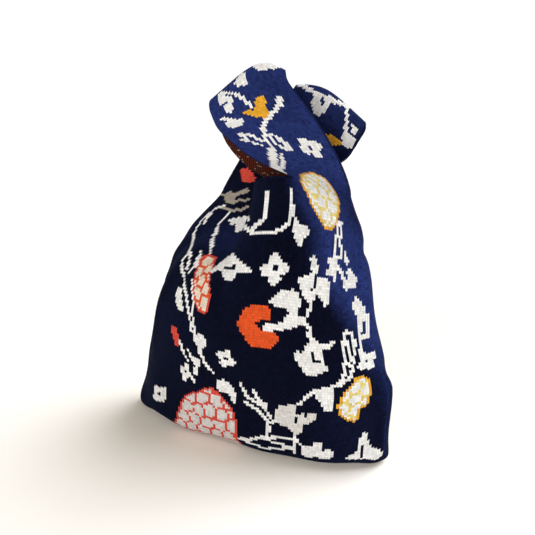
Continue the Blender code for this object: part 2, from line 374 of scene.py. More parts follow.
def fine_grids():
    """Points and normals of the smoothed cage, one grid each for the body and the two loops."""
    cage = bpy.data.objects.new("cage", cage_mesh())
    bpy.context.scene.collection.objects.link(cage)
    soften = cage.modifiers.new("soften", "SUBSURF")
    soften.levels = soften.render_levels = SMOOTHING
    soften.uv_smooth = "NONE"
    shape = cage.evaluated_get(bpy.context.evaluated_depsgraph_get()).to_mesh()
    both = np.hstack([read(shape.vertices, "co", 3), read(shape.vertices, "normal", 3)]).astype(float)
    corner = read(shape.loops, "vertex_index", 1, np.int32)[:, 0]
    where = np.rint(read(shape.uv_layers["where"].data, "uv", 2) * FINE).astype(int)
    sheet, column = np.divmod(where[:, 0], SHEET_COLUMNS * FINE)
    grids = {}
    for which, (high, wide) in SHEETS.items():
        grid = np.zeros((high + 1, wide + 1, both.shape[1]))
        mine = sheet == which
        grid[where[mine, 1], column[mine]] = both[corner[mine]]
        grids[which] = grid
    bpy.data.objects.remove(cage)
    return grids


def even_rows(grid):
    """A loop's grid with its courses spread evenly between each foot and the crease."""
    middle = grid[:, :, :3].mean(axis=1)
    steps = np.r_[0.0, np.cumsum(np.linalg.norm(np.diff(middle, axis=0), axis=1))]
    crest = steps[HALF_LOOP]
    want = np.r_[np.linspace(0.0, crest, HALF_LOOP + 1), np.linspace(crest, steps[-1], HALF_LOOP + 1)[1:]]
    return np.apply_along_axis(lambda line: np.interp(want, steps, line), 0, grid)


# the knitted pattern, one cell a stitch
NAVY, WHITE, GREY, CORAL, ORANGE, YELLOW, CREAM, LEMON, SHADED_WHITE = range(9)
YARN = {  # linear colours of the yarns
    NAVY: (0.0028, 0.0036, 0.0125),
    WHITE: (0.93, 0.922, 0.905),
    GREY: (0.74, 0.715, 0.685),
    CORAL: (0.74, 0.082, 0.052),
    ORANGE: (0.8, 0.1, 0.022),
    YELLOW: (0.85, 0.42, 0.035),
    CREAM: (0.9, 0.77, 0.62),
    LEMON: (0.86, 0.7, 0.2),
    # white yarn painted in shade, for the motifs in the pleats left of the mouth
    SHADED_WHITE: (0.42, 0.37, 0.3),
}
chart_y, chart_x = np.mgrid[0:PANEL_ROWS, 0:PANEL] + 0.5
chart = np.zeros((PANEL_ROWS, PANEL), dtype=int)
OUTLINE_STEPS = 4  # straight steps between two points of an outline
STEM_STEPS = 14  # spots of yarn between two points of a stem
PETAL_OUT, PETAL_ROUND, EYE = 0.28, 0.22, 0.1  # a floret's petals and eye, as shares of its size
CELL_SHAKE = 0.18  # how far a mosaic's cells stray from an even grid
CELL_GAP = 0.86  # stitches of line between two cells


def turned(x, y, angle):
    """Chart positions seen from (x, y), turned so that the first axis points along angle."""
    a = math.radians(angle)
    dx, dy = chart_x - x, chart_y - y
    return dx * math.cos(a) + dy * math.sin(a), dy * math.cos(a) - dx * math.sin(a)


def spots(numbers):
    """Points of the chart, from a list that gives the wale and the course of each in turn."""
    return [Vector(spot) for spot in zip(numbers[::2], numbers[1::2])]


def patch(outline, yarn=WHITE):
    """A field of one yarn inside a smooth closed outline. Returns its stitches."""
    points = spots(outline)
    count = len(points)
    ring = []
    for k in range(count):
        four = [points[(k + i) % count] for i in (-1, 0, 1, 2)]
        ring += [along(four, (1 + i / OUTLINE_STEPS) / 3) for i in range(OUTLINE_STEPS)]
    inside = np.zeros(chart.shape, dtype=bool)
    for a, b in zip(ring, ring[1:] + ring[:1]):
        if a.y != b.y:
            at = a.x + (b.x - a.x) * (chart_y - a.y) / (b.y - a.y)
            inside ^= ((a.y > chart_y) != (b.y > chart_y)) & (chart_x < at)
    chart[inside] = yarn
    return inside


def stem(line, width=1, yarn=WHITE):
    """A stalk along a smooth curve through the line's points, at least one stitch wide all the way."""
    curve = spots(line)
    steps = STEM_STEPS * (len(curve) - 1)
    for i in range(steps + 1):
        at = along(curve, i / steps)
        dx, dy = abs(chart_x - at.x), abs(chart_y - at.y)
        chart[(np.hypot(dx, dy) <= width / 2) | (np.maximum(dx, dy) <= 0.5)] = yarn


def floret(x, y, size, angle, slim=1.0):
    """Four round petals that meet round an open eye. slim narrows the flower across the angle."""
    u, v = turned(x, y, angle)
    v = v / slim
    for k in range(4):
        away = math.pi / 2 * k
        out = size * PETAL_OUT
        far = np.hypot(u - out * math.cos(away), v - out * math.sin(away))
        chart[far <= size * PETAL_ROUND] = WHITE
    eye = size * EYE * slim
    chart[np.maximum(abs(chart_x - x), abs(chart_y - y)) <= max(eye, 0.5)] = NAVY


def mosaic(outline, rim, lines, cells, pitch, angle, seed):
    """A flower of pale cells with a stitch of line round each, inside a rim of its own yarn."""
    field = patch(outline, rim)
    core = field.copy()
    for axis in (0, 1):
        core &= np.roll(field, 1, axis) & np.roll(field, -1, axis)
    xs, ys = chart_x[field], chart_y[field]
    u, v = turned(xs.mean(), ys.mean(), angle)
    jitter = np.random.default_rng(seed)
    reach = int(max(np.ptp(xs), np.ptp(ys)) / pitch) + 2
    far = []
    for row in range(-reach, reach + 1):
        for column in range(-reach, reach + 1):
            shake = jitter.uniform(-CELL_SHAKE, CELL_SHAKE, 2)
            at = ((column + 0.5 * (row % 2) + shake[0]) * pitch, (row + shake[1]) * pitch)
            far.append(np.hypot(u - at[0], v - at[1]))
    far = np.sort(np.array(far), axis=0)
    chart[core] = np.where(far[1] - far[0] > CELL_GAP, cells, lines)[core]


def paint_foot():
    """The flowers along the bottom of the panel."""
    mosaic([34.5, 15, 35, 22.5, 36.5, 28, 39, 34, 44, 39, 50, 43.5, 54.5, 42, 58, 38.8, 60.8, 34, 62, 28.5,
            62, 22.5, 61, 15], CORAL, CORAL, GREY, 5.4, 8, 3)
    floret(26.3, 28.8, 12, 52, 0.56)
    patch([105, 26, 106.8, 29.5, 108.2, 26, 109.2, 21.4, 112, 17.5, 114.3, 13.6, 113.8, 11.8, 111, 11.2,
           108.2, 14.6, 105.6, 15.6, 102.6, 17.2, 100.4, 19.2, 103.8, 19.9, 105.2, 22.2])
    stem([106.5, 22, 106.5, 17], 1, NAVY)
    stem([63, 22.8, 67, 23.8, 71.3, 25.8, 75.8, 27, 83.3, 27.4], 1.4)
    stem([66, 22, 72, 20.8, 78, 21.6, 83, 23], 1.1)
    stem([73.3, 25.4, 78.7, 24.2, 82, 23.6])
    stem([83.4, 30, 83.4, 20.6])
    stem([84, 27.2, 87.4, 23.6], 1.2)
    patch([86.4, 24.2, 91, 24.4, 91.6, 20.2, 87, 19.6])
    patch([90.2, 23.2, 90.6, 27.2, 93, 26.8, 93.2, 23])
    patch([92, 21.8, 94.8, 24, 97.2, 21.8, 96, 19.4, 92.6, 19.2])
    patch([76.2, 43.4, 78.6, 41.9, 81.6, 43, 83.2, 41.8, 83.4, 37.8, 86.4, 34, 85.8, 31, 83.6, 29.4, 81.6,
           32.4, 78.7, 33.4, 76.3, 34.4, 76.3, 39.4, 77.4, 40.9], GREY)
    patch([82.6, 38, 85.4, 39.6, 89.4, 39.8, 89, 36, 85.6, 34.6, 83.4, 35], GREY)
    stem([83.9, 37, 83.9, 36], 1, NAVY)
    stem([86.9, 39.6, 86.9, 38.4], 1, NAVY)
    stem([62.2, 48.4, 65, 43.8, 68.4, 41.4, 70.8, 40.4, 73.6, 37.2, 74.4, 35.6], 1.3)
    stem([67.6, 46, 69.4, 42.8, 72.3, 41], 1.2)
    stem([65, 40.4, 68.4, 38.4, 71.8, 36, 73.6, 33.4, 73.8, 28.6, 72.4, 26], 1.4)
    stem([73.8, 33.6, 76.6, 34.2], 1.2)
    patch([52.6, 46, 54, 48.1, 56.6, 48.4, 59.2, 46.2, 60.9, 43, 61, 39.5, 59, 40, 58.4, 42.4, 56, 43.1,
           53.4, 43.8])


def paint_left():
    """The branch and flowers up the left side of the panel."""
    patch([32, 60.8, 33.8, 62.4, 35.4, 60.4, 35.6, 57.8, 36.2, 55.8, 34.8, 55, 33.2, 57.4], CORAL)
    stem([36.4, 57.2, 38.2, 54, 40.4, 51.6])
    patch([40.4, 56, 42, 54.4, 44.6, 54.2, 46.4, 53, 45.4, 50.8, 43.4, 50.6, 42.2, 52.2, 41, 53.6])
    patch([42.6, 50.2, 45, 50.2, 45.4, 48, 44.2, 46.8, 43.2, 47.8])
    floret(39.4, 46.2, 8.2, 84, 0.56)
    stem([41.8, 45.6, 43.4, 44])
    patch([42.8, 62.4, 44.6, 63.2, 46.6, 64.2, 48.8, 62.8, 48.6, 60, 47.2, 58, 47.4, 55.8, 45.2, 55.8, 45.2,
           57.8, 43.6, 60])
    stem([46.6, 56, 48.2, 53.4, 51.4, 50.8], 1.1)
    stem([18.6, 113.4, 15.6, 112, 14.2, 109.4, 13.2, 106.4, 14.4, 102, 16.2, 97.4, 18.4, 95, 21.8, 93.2,
          24.8, 91, 27.4, 88.8, 30.2, 84.4])
    patch([14, 109.6, 15.6, 108.4, 16.6, 103.4, 14.6, 105.4])
    stem([25.4, 88.4, 26.2, 85.6, 28.4, 83, 31.6, 81.2, 34.8, 77.8, 37.4, 74.8, 39.2, 71.4, 40.8, 67.6, 42,
          63.2], 1.1)
    stem([25.4, 88.4, 26.8, 90])
    patch([29.4, 93.4, 31.2, 90.8, 33.6, 88.4, 33.2, 84.6, 31.6, 82, 31.8, 86.4, 30.2, 89.6])
    stem([36.6, 81.6, 39.8, 77.6, 41.6, 73.8, 41.8, 70, 42.8, 66.4, 43.4, 62.6])
    patch([31.2, 76.6, 32.8, 77.4, 34.6, 75, 36.2, 72, 36.6, 69.4, 34.6, 69.4, 32, 72, 31, 74.4])
    mosaic([32, 92.2, 38.6, 92.6, 42.6, 88.8, 45.6, 84.8, 48.8, 79.2, 48.6, 73.4, 45.9, 71.6, 42.4, 74, 38.4,
            80.2, 34, 86.6], CORAL, ORANGE, CREAM, 4.6, 35, 5)
    stem([23.6, 112.4, 23.4, 108.4, 24.2, 104.6, 27, 101, 30, 97.6, 33.4, 93.4])
    patch([43.2, 86.8, 44.2, 91.6, 48.2, 94.4, 53.8, 95.8, 57.4, 94.4, 62.3, 92, 65.9, 89.6, 60.6, 89.2,
           58.9, 88, 57.2, 86, 52.7, 86.6, 49.9, 88.8, 46.6, 88.8])
    stem([51, 90.4, 57, 91], 1.2, NAVY)
    floret(56.9, 57.4, 7.6, -25)


def paint_middle():
    """The flowers round the crescent in the middle of the panel."""
    patch([74.4, 77.2, 71, 78.2, 67, 77.6, 63.8, 74.6, 62.2, 70.6, 64, 67.4, 66.6, 63.8, 70.4, 62.6, 74.6,
           63.4, 77, 65.8, 78, 68, 75, 68.8, 73.4, 68.6, 71.4, 69, 69.4, 71.2, 71, 72.6, 74.4, 73, 74.8, 75],
           ORANGE)
    patch([73.8, 79, 76.4, 81.4, 78.8, 83.8, 83.4, 84.4, 85.6, 81.4, 85.4, 76.4, 87.4, 75.4, 87.3, 73.2,
           83.4, 72.6, 80.6, 71.4, 80.4, 74.4, 81.8, 77, 78.4, 78.2])
    stem([73.4, 70.4, 78, 71.2, 83.5, 73], 2.6)
    stem([86.6, 74.6, 88.4, 76.6, 89.2, 79.4, 89.4, 82], 1.3)
    patch([84, 88.4, 87.4, 90.2, 88.6, 92, 87.4, 95, 88.7, 97.2, 90.6, 94, 91.4, 90.4, 94.8, 90, 96, 87,
           96.2, 83.6, 95, 80, 92.8, 82.6, 91.4, 84, 90, 81.4, 87.6, 81.4, 85.6, 85])
    stem([90.6, 90.4, 90.4, 87, 89.4, 85.2], 1, NAVY)
    floret(74.7, 90.6, 10.6, 10)
    stem([86.6, 74.4, 88.6, 73.2, 89.6, 71.6, 88.8, 69.6, 90.4, 67.4], 1.4)
    patch([89.4, 69.4, 92, 67.6, 94.6, 67, 98, 68.4, 96.6, 66, 93.6, 65, 89.8, 64])
    patch([83.6, 63.4, 86.2, 63.6, 88, 67, 91.8, 67.4, 93, 64.4, 93, 60.6, 93.8, 57.6, 90.2, 55.6, 86.6,
           55.4, 83.2, 60.2])
    stem([89.6, 63.4, 89.6, 60.6, 91.4, 60.6], 1, NAVY)


def paint_right():
    """The branch and flowers up the right side of the panel."""
    stem([84, 43.4, 86, 46.4, 88.8, 49.2, 93, 50.4, 96.6, 52, 98.6, 55, 100, 59.4, 100.4, 64, 101.6, 70],
          1.3)
    patch([89, 49.8, 94.4, 50.2, 95.2, 45, 94.4, 41.2, 91.8, 41, 91.3, 44, 89.2, 46.4])
    stem([97.6, 52, 101, 54.8, 103.4, 60, 105, 66, 104.2, 70.2, 102.2, 71])
    stem([101.6, 58.4, 102.6, 62.4, 102.8, 67])
    mosaic([104, 54.3, 108, 51.2, 107.5, 45.3, 106.2, 41.8, 104.4, 40.8, 103.8, 36.4, 101.2, 35.6, 97.4,
            39.2, 96.4, 43.8, 98.2, 48.2, 100.2, 50.4, 101.8, 52.8], YELLOW, LEMON, WHITE, 4.4, -20, 11)
    floret(108.4, 58.6, 8.4, 22)
    stem([106.8, 62.2, 107.6, 67.4])
    patch([105, 80, 106.4, 83.6, 109, 81.6, 110.4, 77, 111.4, 72.6, 110.6, 67.6, 108.8, 66.8, 106.8, 68.2,
           107.2, 73, 106.4, 77])
    stem([109.4, 73.8, 109, 69.6], 1, NAVY)
    stem([98.4, 109.6, 97.4, 106, 96.4, 102.4, 96.6, 99, 97.4, 95.4], 1.2)
    stem([100, 109.2, 99.4, 105.6, 98.6, 102.6, 99.6, 99.6, 98.8, 97.4])
    patch([93.6, 96.6, 96.6, 96.8, 98.6, 94.4, 98.2, 91.6, 97.3, 88.8, 96.1, 91.2, 93.8, 91.4, 95, 93.8])
    patch([100.8, 100, 102.4, 98.4, 103.6, 96.4, 102.2, 94.8, 101, 97.2])
    patch([102, 93, 105, 93.6, 107.6, 90.4, 106.4, 87, 103.6, 86.8, 102.2, 85.6, 101.4, 88.6, 102.8, 90.8])
    stem([99.6, 93.4, 101, 90.6, 102.6, 87.4])


def paint_mouth():
    """The flowers under the mouth, from the left seam to the big oval one."""
    mosaic([82, 119.8, 84.6, 123.4, 88.4, 126.6, 92.4, 128.8, 97, 129.6, 100.8, 127.6, 101.4, 121, 99.6,
            113.4, 96, 107.4, 92.4, 105.6, 88.6, 108.6, 84.2, 113.6], YELLOW, LEMON, WHITE, 4.7, 55, 7)
    patch([26.2, 108.6, 29.6, 110.6, 32.2, 112.4, 34.4, 111.6, 35.6, 109, 36.4, 106.6, 33, 105.2, 31.4,
           107.4, 28.6, 107.4])
    stem([36, 108.6, 41.4, 107.2, 48, 107.4, 53.8, 106.4, 60.6, 103.4, 65.1, 102.6, 71.9, 102.6, 75.6, 105.4,
          76.9, 108.4, 76.6, 116.4], 1.4)
    stem([53, 108.8, 58.4, 107.8])
    stem([61.6, 104.6, 64.2, 105.6, 66.9, 107.8, 67.2, 115.4], 1.6)
    patch([77.6, 108.6, 79.6, 106.8, 81.6, 105.6, 84.4, 105.6, 84.8, 103, 83, 101.4, 82.8, 98.8, 80.8, 99.6,
           79, 101.4, 78.2, 104.6])
    # the white motifs in the pleats left of the mouth, painted in shade
    patch([14.1, 120.9, 17, 120, 20, 120.8, 21.2, 123.4, 24.4, 123.2, 25, 121.2, 22, 119.2, 21.2, 117.6, 23,
           115.4, 18.6, 114.6, 15.8, 116.2, 13.2, 118.4], SHADED_WHITE)
    stem([7, 118.4, 10, 118.4, 13.4, 118.6], 1, SHADED_WHITE)
    stem([22.4, 116.5, 25.4, 117.5, 28.8, 118.5], 1, SHADED_WHITE)
    stem([19, 112.8, 23.5, 112.5, 27, 113.5, 30.6, 115.5], 1, SHADED_WHITE)
    patch([11, 132.6, 13.4, 134.6, 17, 132.8, 20.6, 130.6, 21.6, 128, 18.4, 126.6, 14.4, 128.8], CORAL)


def paint_left_strap():
    patch([14, 139, 18, 141.4, 23.4, 138.4, 19, 136.8])
    stem([18, 139, 19.4, 146, 22, 150, 25.4, 152], 1.2)
    patch([12, 147.4, 16.4, 148.6, 19.8, 146, 15.4, 144.6])
    floret(29, 153, 8.8, 6)
    patch([33, 141.6, 35.6, 144.6, 36.8, 149.4, 34, 147, 32.4, 144.4])
    patch([14.6, 157.6, 18.6, 159.4, 21, 163.2, 17.2, 162.4, 14.8, 160.4])
    stem([9, 175.6, 14, 173.6, 20, 172.2, 27, 173.2, 32, 175.6], 1.8)
    patch([19.6, 172.4, 25.4, 172.6, 25.8, 168.6, 24.4, 165, 21, 166.2, 18.6, 169.4])
    stem([22.8, 171.4, 23.4, 169.6], 1, NAVY)
    stem([31.6, 175.2, 33.6, 171.4, 35, 167.8, 35.4, 163.8], 1.4)
    patch([35, 164.6, 36.6, 166.8, 39.6, 166.8, 39.6, 162.4, 37.6, 160.8, 35.8, 162])
    patch([36.4, 171.4, 38.4, 171, 38.8, 168.4, 36.8, 168.8])
    patch([28.6, 160.2, 31.6, 161.6, 35.4, 161.6, 35.6, 159.8, 33.6, 158.4, 30, 158.2], YELLOW)


def paint_right_strap():
    patch([80, 124.8, 80.2, 130.2, 83.4, 134, 86.4, 138, 89.6, 142.8, 91.4, 142.2, 90.2, 138.6, 86.6, 134.2,
           83.6, 129.6, 81.6, 126.2])
    stem([84.4, 130.4, 87.6, 133, 90.4, 136.2, 92.2, 139.4])
    stem([91, 141.4, 91.6, 145.8, 92.4, 150.2], 1.2)
    stem([92.4, 150.2, 94.6, 153.2, 97.4, 155.2, 100.4, 157.2, 103, 159.6], 1.5)
    patch([101.8, 159, 103, 161.8, 104.8, 161.4, 104.2, 159.2, 102.8, 157.8])
    patch([92.8, 147.4, 93.8, 149.6, 95.8, 147.6, 97.8, 144.4, 97.4, 140.6, 95.4, 141.4, 93.2, 144.4])
    stem([94.4, 147.2, 95.2, 144], 1, NAVY)
    stem([84.2, 151.4, 87, 150.2, 88.8, 149.2, 89.2, 147.2, 91.2, 146.4])
    stem([83.2, 148.4, 85.6, 147.4, 87, 145.8, 88.8, 144.4])
    stem([85, 151, 85.8, 148.4])
    floret(104.6, 142, 8.4, 20)
    patch([90, 159.6, 92, 160.4, 94, 158.8, 95.8, 162.2, 98.7, 162.4, 97.9, 158, 96.9, 155.2, 92.4, 157],
           YELLOW)
    stem([93.6, 160.8, 91.8, 165.8, 89.2, 169.8, 85, 173])
    patch([83.2, 158.6, 85, 159.4, 88.4, 157.8, 88.2, 155.6, 85.4, 154.8, 83.2, 156])
    stem([82.8, 161.4, 84.8, 160.2, 85.4, 158.6])
    patch([84.6, 172.2, 88.3, 169.4, 88.4, 165.4, 86.6, 161.8, 84.8, 165.5])
    stem([84.6, 167.4, 86.2, 167.8], 1, NAVY)
    patch([91.2, 172.8, 94.2, 175.4, 96.2, 172.8, 95.4, 168.8, 92.8, 170.2])
    patch([98.6, 175.4, 101, 172.6, 104.6, 172.4, 109.4, 174.4, 108.4, 178, 101, 178])


def paint_panel():
    """The flowers and branches of one panel with its straps, as they lie in the photo."""
    for paint in (paint_foot, paint_left, paint_middle, paint_right, paint_mouth, paint_left_strap,
                  paint_right_strap):
        paint()


# the knitted surface
OUTSIDE, INSIDE, EDGE = range(3)  # the cloth's material slots
UNEVEN = 0.07  # spread of the stitches' brightness
UNEVEN_ENDS = (0.6, 1.3)
UNEVEN_SEED = 7
NAVY_UNEVEN = 2.2  # the dark yarn shows it more
LIT_NAVY = (0.0205, 0.034, 0.152)  # the navy yarn with painted light on it, paler and bluer, as on the straps and down the right side
# Each course with the wale from which the navy is painted lit, paler and bluer, towards the side seam
LIT_LINE = ((4, 113), (30, 111), (50, 107), (70, 100), (80, 93), (90, 85), (104, 81), (112, 74), (124, 70),
             (140, 62), (176, 60))
LIT_WALES = 12  # wales over which the painted light sets in
# Places of painted light, paler, and of painted shade, darker, in the folds and hollows: wale, course, reach
# in wales and in courses, change of the painted light
LIGHT_AND_SHADE_PLACES = ((36, 101, 15, 7.5, 0.3), (111, 114, 9, 8, -0.72), (102, 158, 7, 12, -0.28),
               (119, 52, 2.8, 40, -0.6), (102, 32, 12, 24, 0.09), (33, 62, 6, 8, 0.06),
               (24, 172, 24, 16, 0.7))
BACK_LIT_FROM = ROWS + 2  # the straps' back halves get the paler navy of the painted light above this course
BACK_LIT_COURSES = 24
PLAIN = (1.0, 1.0, 1.0)  # a tone that leaves the yarn's colour as it is
STRAP_EDGE = (4.5, 5.5, 7.0)  # the linked edges, as a share of the navy yarn's colour
MOUTH_EDGE = (4.0, 3.0, 1.6)
EDGE_BULGE = 0.001  # how far the linked edge rounds out past the last stitch
EDGE_RISE = (0, 0.6, 1.2)  # the edge's outer, middle and inner points in the map of stitches
ZIGZAG = 0.2  # how far a stitch's edges rise over its middle, in courses
SHORTEST = 1e-9  # keeps a length above nought
STITCH_ROUND = ((0, 0), (0, 1), (1, 1), (1, 0))  # rows up and columns on, round a face
LINING_ROUND = ((0, 0), (1, 0), (2, 0), (2, 1), (2, 2), (1, 2), (0, 2))

# Folds of the body: the wale and course of each point of its line in turn, how far it stands out
# in metres (in, where negative) and its half width in wales
FOLDS = (
    ([114.6, 6, 113.6, 36, 112.8, 60, 111.6, 84, 110.6, 104], 0.0042, 2),
    ([118.4, 8, 117.8, 50, 116.6, 84, 115.6, 106], -0.0056, 3),
    ([126, 37, 125.5, 84, 126, 112], -0.005, 8),
    ([84, 86, 80, 98, 78.5, 108, 78.5, 119], -0.003, 2.6),
    ([70, 98, 71, 108, 71, 119], 0.0016, 4),
    ([108, 84, 107, 98, 106, 112], -0.003, 4.5),
    ([17, 40, 20, 66, 25, 88, 31, 106], 0.0022, 3.6),
    ([9, 36, 11, 62, 15, 86, 22, 108], -0.0022, 3.4),
    ([3, 24, 4, 60, 8, 84], 0.0018, 3.6),
    ([-1, 52, -1, 80, -1, 102], -0.0034, 13),
    ([8, 8, 11, 40, 12, 60, 12, 88], -0.0036, 9),
    ([56, 66, 52, 84, 46, 98], -0.0016, 4.5),
    ([150, 60, 152, 88, 150, 112], -0.0022, 4),
    ([176, 70, 172, 92, 170, 114], 0.0018, 4.5),
    ([200, 52, 196, 84, 192, 112], -0.0022, 4.5),
    ([222, 44, 218, 80, 214, 108], 0.0022, 4.5),
    ([129, 40, 130, 74, 132, 104], 0.002, 4),
)
FOLD_FADE = 12.0  # courses over which a fold starts and ends
SAG = 0.0007  # the cloth's soft unevenness between its folds, in metres
FOOT_FADE, MOUTH_FADE = 8, 10  # courses over which both fade out at the body's ends


def fold_body(grid):
    """Moves the body's points in and out along its folds, and a little unevenly everywhere."""
    high, wide = grid.shape[:2]
    course, wale = np.mgrid[0.0:high, 0.0:wide]
    wale = (wale + SEAM_SHIFT) % COLS
    move = np.zeros((high, wide))
    for line, out, half in FOLDS:
        xs, ys = line[::2], line[1::2]
        off = (wale - np.interp(course, ys, xs) + COLS / 2) % COLS - COLS / 2
        length = (np.clip((course - ys[0]) / FOLD_FADE, 0, 1)
                  * np.clip((ys[-1] - course) / FOLD_FADE, 0, 1))
        move += out * np.exp(-(off / half) ** 2) * length ** 2 * (3 - 2 * length)
    turn = wale * 2 * math.pi / COLS
    wander = np.sin(5 * turn + course * 0.07) * np.sin(course * 0.11 + 2 * turn)
    wander += 0.6 * np.sin(9 * turn - course * 0.13) * np.sin(course * 0.05 + 1.0)
    edge = np.clip(course / FOOT_FADE, 0, 1) * np.clip((high - 1 - course) / MOUTH_FADE, 0, 1)
    move = (move + SAG * wander) * edge
    grid[:, :, :3] += grid[:, :, 3:] * move[:, :, None]
    grid[:, :, 2] = np.maximum(grid[:, :, 2], 0.0)


def painted_navy_light():
    """The navy yarn's painted light and shade in each stitch, as a share of the navy yarn's colour, for both
    panels.
    """
    course, wale = np.mgrid[0.0:PANEL_ROWS, 0.0:COLS]
    back = wale >= PANEL
    wale = np.minimum(wale, COLS - wale)  # the back panel gets the front one's painted light and shade, mirrored
    courses, starts = zip(*LIT_LINE)
    # painted light: paler, bluer navy from each course's listed wale towards the side seam
    lit_share = smooth((wale - np.interp(course, courses, starts)) / LIT_WALES)
    # painted light in the paler places, painted shade in the darker ones
    for x, y, wide, high, change in LIGHT_AND_SHADE_PLACES:
        lit_share += change * np.exp(-((wale - x) / wide) ** 2 - ((course - y) / high) ** 2)
    # painted light on the straps' back halves as well
    lit_share = np.maximum(lit_share, np.clip((course - BACK_LIT_FROM) / BACK_LIT_COURSES, 0, 1) * back)
    return 1 + np.clip(lit_share, 0, 1)[:, :, None] * (np.array(LIT_NAVY) / np.array(YARN[NAVY]) - 1)


def stitch_colours():
    """The yarn of each stitch, and its tone as a share of that yarn's colour, with painted light and shade
    on the navy.
    """
    yarns = np.concatenate([chart, chart], axis=1)
    tones = np.random.default_rng(UNEVEN_SEED).normal(1.0, UNEVEN, yarns.shape).clip(*UNEVEN_ENDS)
    tones = np.where(yarns == NAVY, tones ** NAVY_UNEVEN, tones)
    return yarns, tones[:, :, None] * np.where(yarns[:, :, None] == NAVY, painted_navy_light(), 1.0)


# Each loop's inner edge stands out, in metres, round two courses counted from its front foot
SWELL_COURSES, SWELL_REACH = (38, 74), 9
SWELLS = {RIGHT_LOOP: 0.0032, LEFT_LOOP: 0.0046}


def swell_edge(grid, out):
    """Moves a loop's inner edge out in the plane of the band, and less towards the outer edge."""
    across = unit(grid[:, :1, :3] - grid[:, -1:, :3])
    course = np.arange(grid.shape[0])[:, None, None]
    share = np.linspace(1, 0, grid.shape[1])[None, :, None]
    for middle in SWELL_COURSES:
        grid[:, :, :3] += across * out * share * np.exp(-((course - middle) / SWELL_REACH) ** 2)


def half_columns(grid, wraps):
    """The grid with a column added in the middle of each stitch, on a smooth curve across."""
    points = grid[:, :, :3]
    if wraps:
        first, last = points[:, -2:-1], points[:, 1:2]
    else:
        first, last = 2 * points[:, :1] - points[:, 1:2], 2 * points[:, -1:] - points[:, -2:-1]
    wide = np.concatenate([first, points, last], axis=1)
    out = np.empty((points.shape[0], 2 * points.shape[1] - 1, 3))
    out[:, 0::2] = points
    out[:, 1::2] = (-wide[:, :-3] + 9 * wide[:, 1:-2] + 9 * wide[:, 2:-1] - wide[:, 3:]) / 16
    return out


def zigzagged(halves, upward):
    """Moves stitch edges along the wale by upward (a share of a course for each row) and middles back."""
    step = halves[1:] - halves[:-1]
    still = np.zeros_like(halves[:1])
    rise, drop = np.concatenate([step, still]), np.concatenate([still, -step])
    out = halves.copy()
    for r, share in enumerate(upward):
        edge, middle = (rise, drop) if share > 0 else (drop, rise)
        out[r, 0::2] += edge[r, 0::2] * abs(share)
        out[r, 1::2] += middle[r, 1::2] * abs(share)
    return out


def unit(v):
    return v / np.maximum(np.linalg.norm(v, axis=-1, keepdims=True), SHORTEST)


class Cloth:
    """Vertices and faces of the whole bag, outside, inside and edges, for one mesh."""

    def __init__(self):
        self.points, self.faces, self.uvs = [], [], []
        self.yarns, self.tones, self.slots = [], [], []

    def add(self, block):
        """Stores an array of points and returns their indices in its shape."""
        start = len(self.points)
        flat = block.reshape(-1, 3)
        self.points.extend(map(tuple, flat))
        return np.arange(start, start + len(flat)).reshape(block.shape[:-1])

    def face(self, ring, yarn, slot, tone=PLAIN, flipped=False):
        """Stores a face. ring holds each corner's point and its place in the map of stitches."""
        ring = ring[::-1] if flipped else ring
        self.faces.append(tuple(int(point) for point, _ in ring))
        self.uvs.extend(place for _, place in ring)
        self.yarns.append(yarn)
        self.tones.append(tone)
        self.slots.append(slot)

    def mesh(self, name):
        mesh = bpy.data.meshes.new(name)
        mesh.from_pydata(self.points, [], self.faces)
        places = np.array(self.uvs, dtype=np.float32)
        mesh.uv_layers.new(name="stitches").data.foreach_set("uv", places.ravel())
        sizes = [len(face) for face in self.faces]
        table = np.ones((len(sizes), 4), dtype=np.float32)
        table[:, :3] = [YARN[yarn] for yarn in self.yarns]
        table[:, :3] *= np.array(self.tones, dtype=np.float32)
        paint = mesh.color_attributes.new(name="yarn", type="FLOAT_COLOR", domain="CORNER")
        paint.data.foreach_set("color", np.repeat(table, sizes, axis=0).ravel())
        mesh.polygons.foreach_set("material_index", np.array(self.slots, dtype=np.int32))
        mesh.polygons.foreach_set("use_smooth", np.ones(len(sizes), dtype=bool))
        mesh.update()
        return mesh


def foot(which, end, step):
    """Columns of the body's top row along a strap's foot from its inner edge, step to a stitch."""
    column, way = EDGE_COLUMNS[which][end]
    return (step * FINE * column + way * np.arange(step * BAND + 1)) % (step * COLS)


def add_skin(cloth, skin, step):
    """Adds one skin's points, step to a stitch, joined along the bottom seam and at the straps' feet."""
    body = cloth.add(skin[BODY][:, :-1])
    twin = (2 * step * FINE * LEFT_SEAM - np.arange(step * COLS)) % (step * COLS)
    body[0] = np.minimum(body[0], body[0][twin])
    ids = {BODY: np.concatenate([body, body[:, :1]], axis=1)}
    for which in LOOPS:
        loop = np.empty(skin[which].shape[:2], dtype=int)
        loop[1:-1] = cloth.add(skin[which][1:-1])
        for end, row in ((0, 0), (1, -1)):
            loop[row] = body[ROWS][foot(which, end, step)]
        ids[which] = loop
    return ids


def add_stitches(cloth, ids, start, courses, colours, flipped=False):
    """A face for each half stitch. start is the first cage column and the way that the others follow."""
    column, way = start
    yarns, tones = colours
    across = column * FINE + way * np.arange(ids.shape[1]) / 2
    wales = (np.floor((across[:-1] + across[1:]) / 2).astype(int) + SEAM_SHIFT) % COLS
    for r, cell in enumerate((courses[:-1] + courses[1:]) // 2):
        for h, wale in enumerate(wales):
            ring = [(ids[r + up, h + on], (across[h + on], courses[r + up])) for up, on in STITCH_ROUND]
            cloth.face(ring, yarns[cell, wale], OUTSIDE, tones[cell, wale], flipped)


